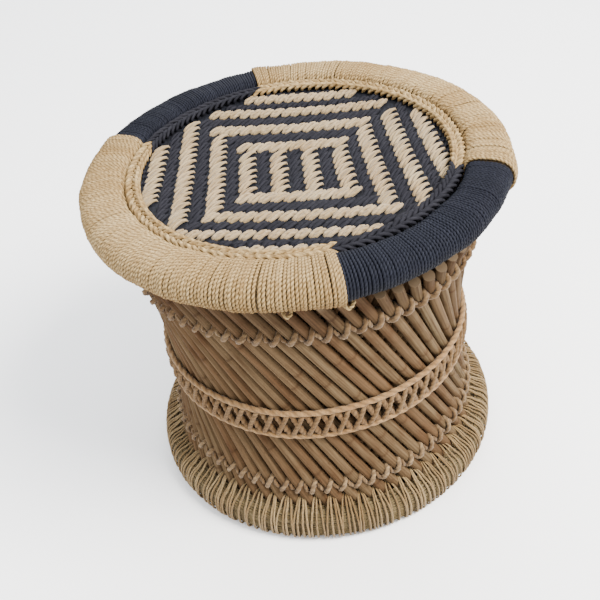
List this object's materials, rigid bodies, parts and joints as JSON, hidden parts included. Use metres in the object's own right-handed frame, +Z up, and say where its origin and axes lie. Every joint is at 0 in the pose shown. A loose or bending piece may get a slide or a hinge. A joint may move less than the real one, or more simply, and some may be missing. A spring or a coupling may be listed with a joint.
{
  "type": "mudda stool",
  "caption": "Round waisted stool of crossed reeds with a cord-wound rim, a woven rope seat with nested rectangles, a laced rope belt and a lashed straw foot ring.",
  "frame": {"origin": "on the floor, on the drum's axis", "axes": "+Z up along the drum's axis, -Y towards the front, +X to the right seen from the front"},
  "size_m": [0.41, 0.4099, 0.347],
  "materials": {
    "reed": "dry sarkanda reed, satin, with darker nodes and streaks",
    "inner_reed": "dry sarkanda reed in shade",
    "bamboo": "split bamboo, satin",
    "straw": "bundled dry straw, matt",
    "lashing_cord": "thin twisted grass cord, matt",
    "tie_rope": "two-ply grass rope, matt and fibrous",
    "natural_cord": "twisted natural cord wound turn by turn, matt",
    "black_cord": "blue-black twisted cord, satin",
    "natural_braid": "flat plait of natural cord, matt",
    "black_braid": "flat plait of blue-black cord, satin",
    "seat_black": "blue-black cord woven tight, satin",
    "seat_natural": "natural cord floats, matt"
  },
  "bodies": {
    "root": {"foot_lashing_1": "lashing_cord", "foot_lashing_2": "lashing_cord", "foot_lashing_3": "lashing_cord", "foot_ring": "straw", "inner_reeds_01": "inner_reed", "inner_reeds_02": "inner_reed", "inner_reeds_03": "inner_reed", "inner_reeds_04": "inner_reed", "inner_reeds_05": "inner_reed", "inner_reeds_06": "inner_reed", "inner_reeds_07": "inner_reed", "inner_reeds_08": "inner_reed", "inner_reeds_09": "inner_reed", "inner_reeds_10": "inner_reed", "inner_reeds_11": "inner_reed", "inner_reeds_12": "inner_reed", "lower_hoop": "bamboo", "outer_reeds_01": "reed", "outer_reeds_02": "reed", "outer_reeds_03": "reed", "outer_reeds_04": "reed", "outer_reeds_05": "reed", "outer_reeds_06": "reed", "outer_reeds_07": "reed", "outer_reeds_08": "reed", "outer_reeds_09": "reed", "outer_reeds_10": "reed", "outer_reeds_11": "reed", "outer_reeds_12": "reed", "outer_reeds_13": "reed", "outer_reeds_14": "reed", "outer_reeds_15": "reed", "outer_reeds_16": "reed", "outer_reeds_17": "reed", "rim_braid_back": "natural_braid", "rim_braid_front": "natural_braid", "rim_braid_left": "black_braid", "rim_braid_right": "black_braid", "rim_bundle": "straw", "rim_winding_back": "natural_cord", "rim_winding_front": "natural_cord", "rim_winding_left": "black_cord", "rim_winding_right": "black_cord", "seat_edge_band_back": "seat_natural", "seat_edge_band_front": "seat_natural", "seat_edge_band_left": "seat_natural", "seat_edge_band_right": "seat_natural", "seat_ground": "seat_black", "seat_hoop": "bamboo", "seat_inner_band": "seat_natural", "seat_ladder": "seat_natural", "seat_outer_band_back": "seat_natural", "seat_outer_band_front": "seat_natural", "seat_outer_band_left": "seat_natural", "seat_outer_band_right": "seat_natural", "waist_lacing": "tie_rope", "waist_rope_lower": "tie_rope", "waist_rope_upper": "tie_rope"}
  },
  "joints": []
}
